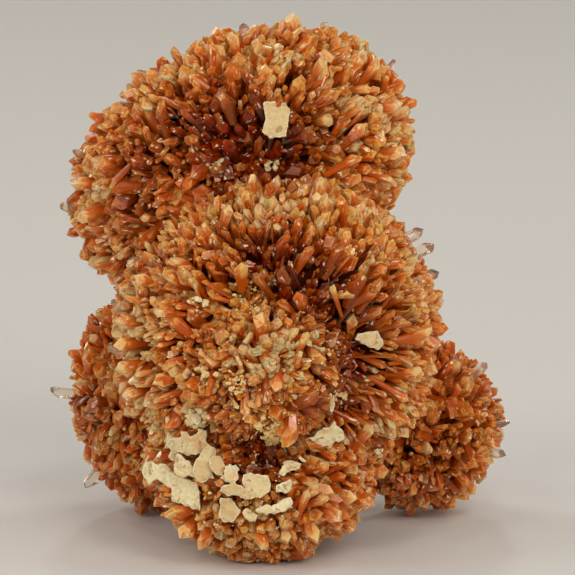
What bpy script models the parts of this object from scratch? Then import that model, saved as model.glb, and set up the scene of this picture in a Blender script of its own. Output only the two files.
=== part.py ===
"""Creedite: grown-together balls of radiating crystals, with pale flakes of matrix on them.

The cluster stands on a small flat spot under its front ball, on the plane z = 0. +Z is up
and the finest side faces -Y. Lengths are in metres, given as millimetres times MM. The
balls are placed round the middle of the front ball, and at the end everything moves
sideways, so that the origin is under the middle of the whole.
"""

import math
import random

import bmesh
import bpy
from mathutils import Matrix, Vector

MM = 0.001

# The viewer of the finest side looks down on it by this angle. Flakes are placed in that
# view: across from the middle, and up from the point where the base touches down.
LOOK_DOWN = math.radians(12)
SIGHT = Vector((0, math.cos(LOOK_DOWN), -math.sin(LOOK_DOWN)))
VIEW_UP = Vector((0, math.sin(LOOK_DOWN), math.cos(LOOK_DOWN)))
BASE_TOUCH = Vector((0, -8, 0)) * MM

# A cell whose crystal would be buried this deep in another ball stays flat.
BURIED_BY = 0.8 * MM

# Some crystals are stout prisms with a pointed end. The others narrow all the way up, some
# of them to a short chisel edge and the rest to a point.
PRISM_SHARE = 0.05
CHISEL_SHARE = 0.40
PRISM_SHOULDER = 0.66
PRISM_WAIST = 0.80
CHISEL_EDGE = 0.15

# The flakes lie this far off the crystals that are cut away to seat them.
FLAKE_GAP = 0.32 * MM
FLAKE_THICK = 0.9 * MM
SEAT_CLEARANCE = 8 * MM


class Hollow:
    """A sunken place in a ball: full depth inside the inner angle, none past the outer."""

    def __init__(self, toward, inner, outer, depth):
        self.toward = Vector(toward).normalized()
        self.inner = math.radians(inner)
        self.outer = math.radians(outer)
        self.depth = depth

    def sunk(self, direction):
        angle = direction.angle(self.toward)
        share = (self.outer - angle) / (self.outer - self.inner)
        share = min(1, max(0, share))
        return self.depth * share * share * (3 - 2 * share)


class Ball:
    """An egg-shaped ball of crystals. Its radii reach the crystals' tips."""

    def __init__(self, centre, radii, roll, crystal, spacing, seed, hollows=()):
        self.centre = Vector(centre) * MM
        self.radii = Vector(radii) * MM
        self.turn = Matrix.Rotation(math.radians(roll), 3, "Y")
        self.crystal = crystal * MM
        self.spacing = spacing * MM
        self.seed = seed
        self.hollows = hollows

    def sunk(self, direction):
        return sum(hollow.sunk(direction) for hollow in self.hollows)

    def radii_at(self, share):
        """The radii of the skin at a share of the crystals' length, from their roots."""
        inset = self.crystal * (1 - share)
        return Vector([r - inset for r in self.radii])

    def skin(self, direction, share=0):
        """The skin's point in a direction, both seen from the ball's centre."""
        reach = 1 - self.sunk(direction)
        local = Vector([r * d * reach for r, d in zip(self.radii_at(share), direction)])
        return self.centre + self.turn @ local

    def depth_of(self, point, share=0):
        """How far inside the skin a point is, roughly, and below zero outside."""
        local = self.turn.transposed() @ (point - self.centre)
        radii = self.radii_at(share)
        scaled = Vector([v / r for v, r in zip(local, radii)])
        return (1 - self.sunk(scaled.normalized()) - scaled.length) * min(radii)

    def crystal_count(self):
        mean = sum(self.radii) / 3
        return round(4 * math.pi * mean * mean / (0.866 * self.spacing**2))


BALLS = {
    "front": Ball(
        (0, 0, 26.0), (19.6, 19.4, 19.8), 0, 3.0, 4.4, 11,
        [Hollow((0.10, -1, -0.08), 32, 56, 0.30), Hollow((0.72, -0.69, 0.08), 8, 30, 0.14)],
    ),
    "dome": Ball((-1.6, -9.4, 24.2), (10.8, 9.8, 9.4), -8, 2.5, 3.7, 12),
    "base": Ball(
        (-1.8, -2.2, 10.2), (14.4, 13.2, 11.0), 0, 2.8, 4.5, 13,
        [Hollow((0.06, -0.84, 0.54), 8, 32, 0.16)],
    ),
    "top": Ball(
        (-4.2, 10.0, 44.4), (21.8, 15.6, 16.0), -27, 3.2, 4.9, 14,
        [Hollow((0.12, -1, 0.04), 12, 42, 0.34)],
    ),
    "left": Ball((-14.4, 19.0, 13.6), (10.7, 11.6, 13.9), -8, 2.8, 4.8, 15),
    "right": Ball((17.6, 18.0, 10.4), (10.0, 10.2, 10.8), 10, 2.8, 4.5, 16),
    "back": Ball((0.8, 12.5, 21.5), (15.2, 13.5, 16.5), 0, 2.8, 5.5, 17),
    "foot": Ball((-1.0, -4.6, 3.7), (6.8, 6.4, 6.2), 0, 2.2, 3.4, 18),
}

# Single long crystals: ball, degrees in the picture plane from +X towards +Z, degrees back
# from that plane towards +Y, how far the tip stands out of the ball, and width.
LONG_CRYSTALS = (
    ("top", 68, 4, 1.6, 2.8),
    ("top", 104, -6, 1.3, 2.2),
    ("top", 166, -4, 1.0, 1.9),
    ("top", 154, 4, 1.1, 2.4),
    ("front", 35, 6, 1.9, 1.7),
    ("front", 31, -4, 2.3, 1.9),
    ("front", 10, 12, 0.8, 1.8),
    ("left", 177, -8, 2.6, 2.1),
    ("left", 137, -4, 1.0, 2.6),
    ("left", 222, -10, 2.2, 2.1),
    ("left", 256, -16, 1.2, 2.4),
    ("right", 44, -4, 1.0, 1.6),
    ("right", 4, -10, 0.9, 1.5),
    ("right", 84, -6, 1.2, 1.7),
)

# Pale flakes: their corners as they lie in the view, across and up.
FLAKES = {
    "left_band": (
        (-16.1, 10.8), (-15.7, 11.8), (-14.9, 12.0), (-13.7, 11.4), (-12.6, 10.8),
        (-11.4, 10.3), (-9.4, 9.5), (-9.2, 8.0), (-9.1, 6.2), (-10.4, 6.7),
        (-12.4, 7.3), (-12.5, 8.9), (-13.6, 9.4), (-14.2, 10.0), (-15.2, 9.2),
    ),
    "left_shelf": (
        (-13.1, 14.2), (-12.7, 14.8), (-11.2, 14.9), (-11.3, 15.7), (-10.6, 15.6),
        (-10.3, 14.9), (-9.0, 15.8), (-8.3, 15.8), (-8.4, 14.5), (-7.8, 13.9),
        (-8.5, 13.1), (-10.6, 12.8), (-11.5, 13.2), (-12.4, 13.0),
    ),
    "left_pair": (
        (-11.8, 11.9), (-10.9, 12.3), (-10.3, 12.1), (-9.7, 11.0), (-9.4, 11.9),
        (-7.8, 12.4), (-7.7, 10.8), (-7.4, 10.1), (-9.1, 10.0), (-10.4, 10.5),
        (-11.5, 11.0),
    ),
    "ledge_left": (
        (-6.7, 10.2), (-6.0, 10.8), (-5.6, 11.9), (-4.6, 11.2), (-5.0, 9.7), (-5.6, 9.6),
    ),
    "ledge_rough": (
        (-6.7, 9.1), (-5.5, 9.0), (-4.6, 9.1), (-4.3, 8.6), (-5.0, 8.4), (-6.2, 8.5),
    ),
    "ledge_middle": (
        (-4.1, 9.6), (-4.0, 10.6), (-3.2, 10.8), (-1.0, 10.4), (-0.7, 9.6), (-0.8, 8.8),
        (-1.9, 7.8), (-2.5, 7.9), (-3.5, 8.4),
    ),
    "ledge_right": (
        (-0.1, 9.4), (0.5, 9.5), (1.6, 10.1), (1.8, 9.4), (1.3, 8.4), (-0.1, 8.6),
    ),
    "ledge_strip": (
        (0.2, 10.6), (0.6, 11.5), (1.2, 11.9), (2.9, 11.9), (2.6, 11.3), (1.3, 10.9),
        (0.8, 10.4),
    ),
    "low_diamond": (
        (-6.7, 7.8), (-5.3, 7.7), (-4.3, 6.2), (-5.3, 4.9), (-6.4, 5.0), (-6.8, 5.6),
    ),
    "low_chip": (
        (-3.7, 5.8), (-3.2, 6.2), (-2.6, 6.1), (-2.5, 5.6), (-2.9, 5.2), (-3.5, 5.2),
    ),
    "low_right": (
        (-1.8, 6.2), (-1.4, 6.6), (-0.8, 6.6), (0.8, 7.7), (1.6, 8.0), (1.9, 7.3),
        (1.7, 6.7), (0.8, 6.2), (-1.3, 5.8),
    ),
    "dome_right": (
        (3.7, 14.9), (4.4, 15.0), (4.8, 15.7), (6.4, 16.2), (6.8, 17.0), (7.1, 16.3),
        (7.9, 15.5), (6.7, 14.3), (6.4, 13.4), (4.9, 14.0),
    ),
    "top_hollow": (
        (-1.7, 54.7), (-0.2, 54.8), (1.0, 54.6), (1.6, 53.9), (1.1, 50.6), (-0.8, 50.5),
        (-1.8, 51.2), (-1.3, 52.8),
    ),
    "trench_right": (
        (9.2, 26.6), (9.7, 27.2), (11.9, 27.6), (12.5, 26.5), (12.6, 25.7), (11.8, 25.3),
        (10.7, 25.8),
    ),
}


def remove_everything():
    for obj in list(bpy.data.objects):
        bpy.data.objects.remove(obj)


def crystal_material(name, colour, roughness):
    material = bpy.data.materials.new(name)
    material.use_nodes = True
    shader = material.node_tree.nodes["Principled BSDF"]
    shader.inputs["Base Color"].default_value = (*colour, 1)
    shader.inputs["Roughness"].default_value = roughness
    shader.inputs["Metallic"].default_value = 0
    return material


def object_from(name, shape):
    """An object that holds a bmesh, all in triangles that face outwards."""
    bmesh.ops.triangulate(shape, faces=shape.faces)
    bmesh.ops.recalc_face_normals(shape, faces=shape.faces)
    mesh = bpy.data.meshes.new(name)
    shape.to_mesh(mesh)
    shape.free()
    obj = bpy.data.objects.new(name, mesh)
    bpy.context.collection.objects.link(obj)
    return obj


def scattered_directions(count, chance):
    """Directions spread evenly over a sphere and then jogged, so that no rows show."""
    golden = math.pi * (3 - math.sqrt(5))
    jog = 0.62 * math.sqrt(4 * math.pi / count)
    directions = []
    for i in range(count):
        height = 1 - 2 * (i + 0.5) / count
        flat = math.sqrt(1 - height * height)
        even = Vector((flat * math.cos(golden * i), flat * math.sin(golden * i), height))
        shift = Vector([chance.uniform(-0.5, 0.5) for _ in range(3)]) * jog
        directions.append((even + shift).normalized())
    return directions


def cells_on_sphere(directions):
    """The cell round each direction, as corner numbers, and the corners' directions."""
    hull = bmesh.new()
    seeds = [hull.verts.new(d) for d in directions]
    bmesh.ops.convex_hull(hull, input=seeds)
    hull.faces.index_update()
    corners = [face.calc_center_median().normalized() for face in hull.faces]
    cells = []
    for seed in hull.verts:
        middle = seed.co.normalized()
        side = middle.orthogonal().normalized()
        ahead = middle.cross(side)
        around = sorted(
            (math.atan2(corners[f.index].dot(ahead), corners[f.index].dot(side)), f.index)
            for f in seed.link_faces
        )
        cells.append((middle, [index for _, index in around]))
    hull.free()
    return cells, corners


def is_buried(point, own, margin):
    return any(
        ball.depth_of(point) > margin for ball in BALLS.values() if ball is not own
    )


def add_point(shape, ring, apex):
    """A pointed end: one flat face from each side of the ring."""
    for first, second in zip(ring, ring[1:] + ring[:1]):
        shape.faces.new((first, second, apex))


def add_chisel(shape, ring, foot, tip, along):
    """A crystal whose sides rise to a short edge, like a chisel's."""
    ends = (shape.verts.new(tip + along), shape.verts.new(tip - along))
    nearest = [ends[0] if (v.co - foot).dot(along) > 0 else ends[1] for v in ring]
    pairs = list(zip(ring, nearest))
    for (low, high), (next_low, next_high) in zip(pairs, pairs[1:] + pairs[:1]):
        if high is next_high:
            shape.faces.new((low, next_low, high))
        else:
            shape.faces.new((low, next_low, next_high, high))


def add_prism(shape, ring, foot, rise, apex_at):
    """A stout crystal: steep sides up to a shoulder, then a pointed end."""
    shoulder = [
        shape.verts.new(foot + (v.co - foot) * PRISM_WAIST + rise * PRISM_SHOULDER)
        for v in ring
    ]
    sides = list(zip(ring, shoulder))
    for (low, high), (next_low, next_high) in zip(sides, sides[1:] + sides[:1]):
        shape.faces.new((low, next_low, next_high, high))
    add_point(shape, shoulder, shape.verts.new(apex_at))


def crystal_ball(ball):
    """One closed shell of crystals that all point away from the ball's middle."""
    chance = random.Random(ball.seed)
    cells, corners = cells_on_sphere(scattered_directions(ball.crystal_count(), chance))
    shape = bmesh.new()
    roots = [shape.verts.new(ball.skin(corner)) for corner in corners]
    for direction, numbers in cells:
        ring = [roots[n] for n in numbers]
        foot = sum((v.co for v in ring), Vector()) / len(ring)
        outward = (foot - ball.centre).normalized()
        length = ball.crystal * chance.uniform(0.78, 1.16)
        lean = Vector([chance.uniform(-1, 1) for _ in range(3)]) * 0.2 * ball.spacing
        along = outward.cross(Vector([chance.uniform(-1, 1) for _ in range(3)]))
        kind = chance.random()
        tip = foot + outward * length + lean
        if is_buried(tip, ball, BURIED_BY):
            shape.faces.new(ring)
        elif kind < PRISM_SHARE:
            add_prism(shape, ring, foot, tip - foot, tip + lean * 0.6)
        elif kind < PRISM_SHARE + CHISEL_SHARE:
            edge = along.normalized() * CHISEL_EDGE * ball.spacing
            add_chisel(shape, ring, foot, tip, edge)
        else:
            add_point(shape, ring, shape.verts.new(tip))
    return object_from("crystal_ball", shape)


def long_crystal(ball_name, around, back, stands_out, width):
    """A single six-sided crystal with an off-centre point, rooted deep in its ball."""
    ball = BALLS[ball_name]
    around = math.radians(around)
    back = math.radians(back)
    aim = Vector(
        (
            math.cos(around) * math.cos(back),
            math.sin(back),
            math.sin(around) * math.cos(back),
        )
    )
    inward = ball.turn.transposed() @ aim
    reach = 1 / math.sqrt(sum((v / r) ** 2 for v, r in zip(inward, ball.radii)))
    rim = ball.centre + aim * reach
    root = rim - aim * (ball.crystal + 2 * MM)
    tip = rim + aim * stands_out * MM
    half = width * MM / 2
    side = aim.orthogonal().normalized()
    ahead = aim.cross(side)
    shape = bmesh.new()
    rings = []
    for place in (root, tip - aim * half * 1.3):
        ring = []
        for k in range(6):
            angle = k * math.pi / 3
            flat = side * math.cos(angle) * half + ahead * math.sin(angle) * half * 0.8
            ring.append(shape.verts.new(place + flat))
        rings.append(ring)
    low, high = rings
    shape.faces.new(low)
    for k in range(6):
        after = (k + 1) % 6
        shape.faces.new((low[k], low[after], high[after], high[k]))
    add_point(shape, high, shape.verts.new(tip + side * half * 0.3))
    return object_from("long_crystal", shape)


def combine(target, tools, operation):
    """Joins the tools to the target, or cuts them all away, and removes the tools."""
    toolbox = bpy.data.collections.new("toolbox")
    for tool in tools:
        toolbox.objects.link(tool)
    modifier = target.modifiers.new(operation.lower(), "BOOLEAN")
    modifier.operation = operation
    modifier.solver = "EXACT"
    modifier.operand_type = "COLLECTION"
    modifier.collection = toolbox
    bpy.context.view_layer.update()
    graph = bpy.context.evaluated_depsgraph_get()
    result = bpy.data.meshes.new_from_object(target.evaluated_get(graph))
    target.modifiers.remove(modifier)
    target.data = result
    bpy.data.collections.remove(toolbox)
    for tool in tools:
        bpy.data.objects.remove(tool)


def ground_cutter():
    """A block under the plane z = 0, which leaves the flat spots that the cluster rests on."""
    shape = bmesh.new()
    side = 120 * MM
    deep = 20 * MM
    size = Matrix.Diagonal((side, side, deep, 1))
    bmesh.ops.create_cube(shape, size=1, matrix=Matrix.Translation((0, 0, -deep / 2)) @ size)
    return object_from("ground_cutter", shape)


def sight_line(across, up):
    """A point well in front of the cluster, on the line of sight to a place in the view."""
    return BASE_TOUCH + Vector((across, 0, 0)) * MM + VIEW_UP * up * MM - SIGHT * 60 * MM


def first_met(across, up):
    """Where a line of sight first meets the crystals, and the ball that it meets there."""
    start = sight_line(across, up)
    for i in range(1200):
        point = start + SIGHT * 0.1 * MM * i
        for ball in BALLS.values():
            if ball.depth_of(point, share=0.55) > 0:
                return point, ball
    raise ValueError("this line of sight misses the cluster")


def seat_corners(outline):
    """A flake's corners on its seat, which is flat and tips halfway to the ball's skin."""
    across = sum(corner[0] for corner in outline) / len(outline)
    up = sum(corner[1] for corner in outline) / len(outline)
    point, ball = first_met(across, up)
    normal = ((point - ball.centre).normalized() * 0.45 - SIGHT * 0.55).normalized()
    corners = []
    for corner in outline:
        start = sight_line(*corner)
        corners.append(start + SIGHT * ((point - start).dot(normal) / SIGHT.dot(normal)))
    return corners


def grown(corners, margin):
    """A ring of corners pushed out by a margin on every side."""
    ring = []
    count = len(corners)
    for k, corner in enumerate(corners):
        before = (corner - corners[k - 1]).normalized()
        after = (corners[(k + 1) % count] - corner).normalized()
        outs = [side.cross(SIGHT).normalized() for side in (before, after)]
        bisector = (outs[0] + outs[1]).normalized()
        reach = margin / max(0.6, bisector.dot(outs[0]))
        ring.append(corner + bisector * reach)
    return ring


def slab(name, corners, low, high):
    """A plate over a ring of corners, between two heights in front of them."""
    shape = bmesh.new()
    foot = [shape.verts.new(c - SIGHT * low) for c in corners]
    head = [shape.verts.new(c - SIGHT * high) for c in corners]
    shape.faces.new(foot)
    shape.faces.new(head)
    count = len(corners)
    for k in range(count):
        after = (k + 1) % count
        shape.faces.new((foot[k], foot[after], head[after], head[k]))
    return object_from(name, shape)


def largest_shell(obj):
    """Deletes the small shells that joining leaves: sealed pockets and loose crumbs."""
    shape = bmesh.new()
    shape.from_mesh(obj.data)
    unseen = set(shape.verts)
    shells = []
    while unseen:
        shell = []
        waiting = [unseen.pop()]
        while waiting:
            vert = waiting.pop()
            shell.append(vert)
            near = {e.other_vert(vert) for e in vert.link_edges} & unseen
            unseen -= near
            waiting.extend(near)
        shells.append(shell)
    largest = max(shells, key=len)
    loose = [v for shell in shells if shell is not largest for v in shell]
    bmesh.ops.delete(shape, geom=loose, context="VERTS")
    bmesh.ops.triangulate(shape, faces=shape.faces)
    shape.to_mesh(obj.data)
    shape.free()


def make_cluster(material):
    """All the balls and long crystals as one solid, cut flat where it rests."""
    first, *shells = [crystal_ball(ball) for ball in BALLS.values()]
    combine(first, shells + [long_crystal(*row) for row in LONG_CRYSTALS], "UNION")
    first.name = "crystal_cluster"
    first.data.materials.clear()
    first.data.materials.append(material)
    return first


def make_flakes(cluster, material):
    """Cuts a seat in the crystals for each flake and lays the flake there, clear of them."""
    cutters = [ground_cutter()]
    for name, outline in FLAKES.items():
        corners = seat_corners(outline)
        seat = grown(corners, FLAKE_GAP * 1.3)
        cutters.append(slab("seat_cutter", seat, -FLAKE_GAP * 1.3, SEAT_CLEARANCE))
        flake = slab("matrix_flake_" + name, corners, 0, FLAKE_THICK)
        flake.data.materials.append(material)
    combine(cluster, cutters, "DIFFERENCE")


def centre_over_origin():
    """Moves everything sideways, so that the middle of its box is over the origin."""
    meshes = [obj.data for obj in bpy.data.objects]
    points = [vert.co for mesh in meshes for vert in mesh.vertices]
    middle = [
        (min(p[axis] for p in points) + max(p[axis] for p in points)) / 2 for axis in (0, 1)
    ]
    for mesh in meshes:
        mesh.transform(Matrix.Translation((-middle[0], -middle[1], 0)))
        mesh.update()


def main():
    remove_everything()
    orange = crystal_material("orange_crystal", (0.62, 0.22, 0.05), 0.2)
    cream = crystal_material("pale_matrix", (0.70, 0.60, 0.42), 0.8)
    cluster = make_cluster(orange)
    make_flakes(cluster, cream)
    largest_shell(cluster)
    centre_over_origin()


main()
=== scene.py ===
"""Looks for the creedite specimen: thousands of small glassy crystals that radiate from
grown-together balls, with pale flakes of matrix and crumbs on them."""

import math

import bpy
import numpy as np
from mathutils import Matrix, Vector


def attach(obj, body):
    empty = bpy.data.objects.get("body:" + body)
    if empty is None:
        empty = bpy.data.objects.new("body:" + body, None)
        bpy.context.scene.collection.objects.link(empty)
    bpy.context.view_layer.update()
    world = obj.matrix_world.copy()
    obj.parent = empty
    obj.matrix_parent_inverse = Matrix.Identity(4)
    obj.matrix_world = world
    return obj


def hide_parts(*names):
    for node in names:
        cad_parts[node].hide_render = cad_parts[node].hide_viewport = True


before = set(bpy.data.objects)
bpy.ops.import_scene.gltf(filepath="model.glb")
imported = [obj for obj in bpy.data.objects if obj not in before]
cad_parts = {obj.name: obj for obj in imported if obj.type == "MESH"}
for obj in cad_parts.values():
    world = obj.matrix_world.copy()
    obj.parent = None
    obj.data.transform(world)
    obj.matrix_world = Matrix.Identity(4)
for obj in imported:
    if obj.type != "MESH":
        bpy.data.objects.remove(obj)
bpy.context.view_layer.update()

MM = 0.001

# Lengths are in millimetres until a mesh is made. The balls are placed round the middle of the
# front ball. The origin is elsewhere: under the middle of the whole cluster, this far to the
# right of that and behind it.
MIDDLE = np.array((0.3724, 5.2325, 0))

# The photograph's view: level with X, and down by this angle.
LOOK_DOWN = math.radians(12)
SIGHT = np.array((0, math.cos(LOOK_DOWN), -math.sin(LOOK_DOWN)))
VIEW_UP = np.array((0, math.sin(LOOK_DOWN), math.cos(LOOK_DOWN)))
# Where the photograph's lowest crystals stand on the table.
LOW_PLACE = np.array((0, -8.0, 0))


def unit(vectors):
    """The vectors, each brought to a length of one."""
    return vectors / np.linalg.norm(vectors, axis=-1, keepdims=True)


def smooth(share):
    """An even rise from 0 to 1 that starts and ends gently."""
    share = np.clip(share, 0, 1)
    return share * share * (3 - 2 * share)


SWELL_WAVES = 7
SWELL_HEIGHT = 2.6


def swell(points, seed, scale):
    """A gentle, random-looking field over space, about -1 to 1, from a few slow waves."""
    chance = np.random.default_rng(seed)
    total = np.zeros(len(points))
    for _ in range(SWELL_WAVES):
        wave = unit(chance.normal(size=3)) * chance.uniform(0.6, 1.5) / scale
        total += np.sin(points @ wave * math.tau + chance.uniform(0, math.tau))
    return total / SWELL_HEIGHT


def scatter_lean(points, seed, scale):
    """A gentle field of directions over space."""
    return np.stack([swell(points, seed + k, scale) for k in range(3)], 1)


def deselect_all():
    for obj in bpy.context.selected_objects:
        obj.select_set(False)


def work_on(obj):
    """Select one object alone and make it the active one."""
    deselect_all()
    bpy.context.view_layer.objects.active = obj
    obj.select_set(True)


def edit_all():
    """Go into edit mode on the active object, with all of it selected."""
    bpy.ops.object.mode_set(mode="EDIT")
    bpy.ops.mesh.select_all(action="SELECT")


def taken_apart(obj):
    """The corners and faces of an object, which is then removed."""
    corners = np.array([v.co for v in obj.data.vertices])
    faces = [tuple(p.vertices) for p in obj.data.polygons]
    bpy.data.objects.remove(obj)
    return corners, faces


def shifted(faces, start):
    """The faces, with their corners counted on from start."""
    return [tuple(start + corner for corner in face) for face in faces]


def put_together(name, corners, faces):
    """A new object, from corners in millimetres."""
    mesh = bpy.data.meshes.new(name)
    mesh.from_pydata(((corners - MIDDLE) * MM).tolist(), [], faces)
    obj = bpy.data.objects.new(name, mesh)
    bpy.context.collection.objects.link(obj)
    return obj


def set_number(mesh, label, values):
    """Give each corner of a mesh a number, for its material to read."""
    attribute = mesh.attributes.new(label, "FLOAT", "POINT")
    attribute.data.foreach_set("value", np.asarray(values, np.float32))


class Hollow:
    """A sunken place in a ball: full depth inside the inner angle, none past the outer."""

    def __init__(self, toward, inner, outer, depth):
        self.toward = unit(np.array(toward, float))
        self.inner = math.radians(inner)
        self.outer = math.radians(outer)
        self.depth = depth

    def sunk(self, directions):
        """The share of its radius that a ball loses in each direction."""
        angle = np.arccos(np.clip(directions @ self.toward, -1, 1))
        return self.depth * smooth((self.outer - angle) / (self.outer - self.inner))


class Ball:
    """An egg-shaped ball of crystals. Its radii reach the crystals' tips."""

    def __init__(self, centre, radii, roll, hollows=()):
        self.centre = np.array(centre, float)
        self.radii = np.array(radii, float)
        self.turn = np.array(Matrix.Rotation(math.radians(roll), 3, "Y"))
        self.hollows = hollows

    def sunk(self, directions):
        """The share of the radius that all the hollows take in each direction."""
        total = np.zeros(len(directions))
        for hollow in self.hollows:
            total += hollow.sunk(directions)
        return total

    def skin(self, directions, inset=0.0):
        """The skin's places in each direction, or those so far inside it."""
        reach = (1 - self.sunk(directions))[:, None]
        local = directions * (self.radii - inset) * reach
        return self.centre + local @ self.turn.T

    def depth_of(self, points, inset=0.0):
        """How far inside the skin the points are, roughly, and below zero outside."""
        radii = self.radii - inset
        scaled = (points - self.centre) @ self.turn / radii
        length = np.linalg.norm(scaled, axis=1)
        return (1 - self.sunk(unit(scaled)) - length) * radii.min()


BALLS = {
    "front": Ball(
        (0, 0, 26.0), (19.6, 19.4, 19.8), 0,
        [Hollow((0.10, -1, -0.08), 32, 56, 0.33), Hollow((0.66, -0.74, 0.10), 8, 28, 0.24)],
    ),
    "dome": Ball((-1.6, -9.4, 24.2), (10.8, 9.8, 9.4), -8),
    "base": Ball(
        (-1.8, -2.2, 10.2), (14.4, 13.2, 11.0), 0, [Hollow((0.06, -0.84, 0.54), 8, 32, 0.16)]
    ),
    "top": Ball(
        (-4.2, 10.0, 44.4), (21.8, 15.6, 16.0), -27, [Hollow((0.12, -1, 0.04), 12, 46, 0.32)]
    ),
    "left": Ball((-14.4, 19.0, 13.6), (10.7, 11.6, 13.9), -8),
    "right": Ball((17.6, 18.0, 10.4), (10.0, 10.2, 10.8), 10),
    "back": Ball((0.8, 12.5, 21.5), (15.2, 13.5, 16.5), 0),
    "foot": Ball((-1.0, -4.6, 3.7), (6.8, 6.4, 6.2), 0),
}

# How much of the cluster one pixel of the photograph spans.
PIXEL = 0.12
# The column of the front ball's middle, and the row of the lowest crystals with their height
# along the picture.
MIDDLE_COLUMN = 277
LOW_ROW = 560
LOW_HEIGHT = -1.66


def picture_place(column, row):
    """How far right of the front ball's middle and how high in the picture a pixel lies."""
    return (column - MIDDLE_COLUMN) * PIXEL, (LOW_ROW - row) * PIXEL + LOW_HEIGHT


SIGHT_REACH = 60
SIGHT_STEP = 0.2


def on_skin(column, row, inset=0.0):
    """Where the sight line through a pixel of the photograph first meets a ball."""
    across, up = picture_place(column, row)
    along = np.arange(-SIGHT_REACH, SIGHT_REACH, SIGHT_STEP)
    points = np.array((across, 0, 0)) + VIEW_UP * up + along[:, None] * SIGHT
    depth = np.max([ball.depth_of(points, inset) for ball in BALLS.values()], axis=0)
    inside = np.nonzero(depth > 0)[0]
    first = inside[0] if len(inside) else np.argmax(depth)
    return points[first]


# How long the modelled crystals are, in widths.
SHAFT = 3.0
# Facets whose middle is further down than this are the long side facets.
SIDE_BELOW = 1.1
# The long side facets' middles are moved up to here, so that their rims stay narrow at the top.
FACET_MIDDLE = 0.95


def cut_crystal(name, depth, cuts):
    """One six-sided crystal a unit wide, its pointed end at z = 0 and its root below.

    Each cut is a flat facet: how far it leans from level, its heading, and how far down the
    crystal's own axis it passes. Every facet gets a middle corner, with a rim value of 0 there
    and of 1 at its edges.
    """
    deselect_all()
    bpy.ops.mesh.primitive_cylinder_add(
        vertices=6, radius=0.5, depth=SHAFT, end_fill_type="NGON", location=(0, 0, -SHAFT / 2)
    )
    obj = bpy.context.object
    obj.name = name
    bpy.ops.object.transform_apply(location=True, rotation=False, scale=False)
    edit_all()
    bpy.ops.transform.resize(value=(1, depth, 1))
    for lean, heading, drop in cuts:
        lean = math.radians(lean)
        heading = math.radians(heading)
        normal = (
            math.sin(lean) * math.cos(heading),
            math.sin(lean) * math.sin(heading),
            math.cos(lean),
        )
        bpy.ops.mesh.select_all(action="SELECT")
        bpy.ops.mesh.bisect(
            plane_co=(0, 0, -drop), plane_no=normal, use_fill=True, clear_outer=True
        )
    bpy.ops.object.mode_set(mode="OBJECT")
    sharp_count = len(obj.data.vertices)
    edit_all()
    bpy.ops.mesh.poke()
    bpy.ops.object.mode_set(mode="OBJECT")
    corners, faces = taken_apart(obj)
    # The rim value places painted shade in the facets' middles and painted light along their rims.
    rim = np.where(np.arange(len(corners)) < sharp_count, 1.0, 0.0)
    is_root = corners[:, 2] < -SHAFT + 0.01
    on_side = (rim == 0) & ~is_root & (corners[:, 2] < -SIDE_BELOW)
    corners[on_side, 2] = -FACET_MIDDLE
    down = corners[:, 2].max() - corners[:, 2]
    return {
        "across": corners[:, :2], "down": down, "is_root": is_root, "rim": rim, "faces": faces
    }


# Each kind: its name, its depth for a width of one, and the cuts that make its point.
CRYSTAL_KINDS = [
    cut_crystal("wedge", 0.78, [(56, 90, 0.0), (50, 270, 0.03), (66, 10, 0.24)]),
    cut_crystal("blade", 0.56, [(52, 0, 0.0), (40, 180, 0.03), (74, 80, 0.16)]),
    cut_crystal("point", 0.90, [(60, 20, 0), (58, 140, 0.03), (60, 260, 0.05)]),
    cut_crystal("slant", 0.80, [(38, 40, 0.10), (64, 220, 0.0), (58, 130, 0.18)]),
    cut_crystal("blunt", 0.92, [(14, 60, 0.08), (54, 240, 0.05), (56, 120, 0.07), (50, 0, 0.08)]),
]
# A crystal's width at its root, for a width of one above.
ROOT_TAPER = 0.5


class Crystals:
    """Rows of crystals: where each is rooted, where its tip is, its width, tint and hue."""

    def __init__(self):
        self.rows = []

    def add(self, foot, tip, width, tint, hue):
        self.rows.append((foot, tip, width, tint, hue))

    def columns(self):
        """All rows in one array for each of the five columns."""
        return [np.concatenate([row[i] for row in self.rows]) for i in range(5)]


def sphere_directions(count, jog, chance):
    """Directions spread evenly over a sphere, then jogged so that no rows show."""
    golden = math.pi * (3 - math.sqrt(5))
    i = np.arange(count)
    height = 1 - 2 * (i + 0.5) / count
    flat = np.sqrt(1 - height**2)
    even = np.stack([flat * np.cos(golden * i), flat * np.sin(golden * i), height], 1)
    step = math.sqrt(4 * math.pi / count)
    return unit(even + chance.uniform(-0.5, 0.5, (count, 3)) * jog * step)


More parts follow.
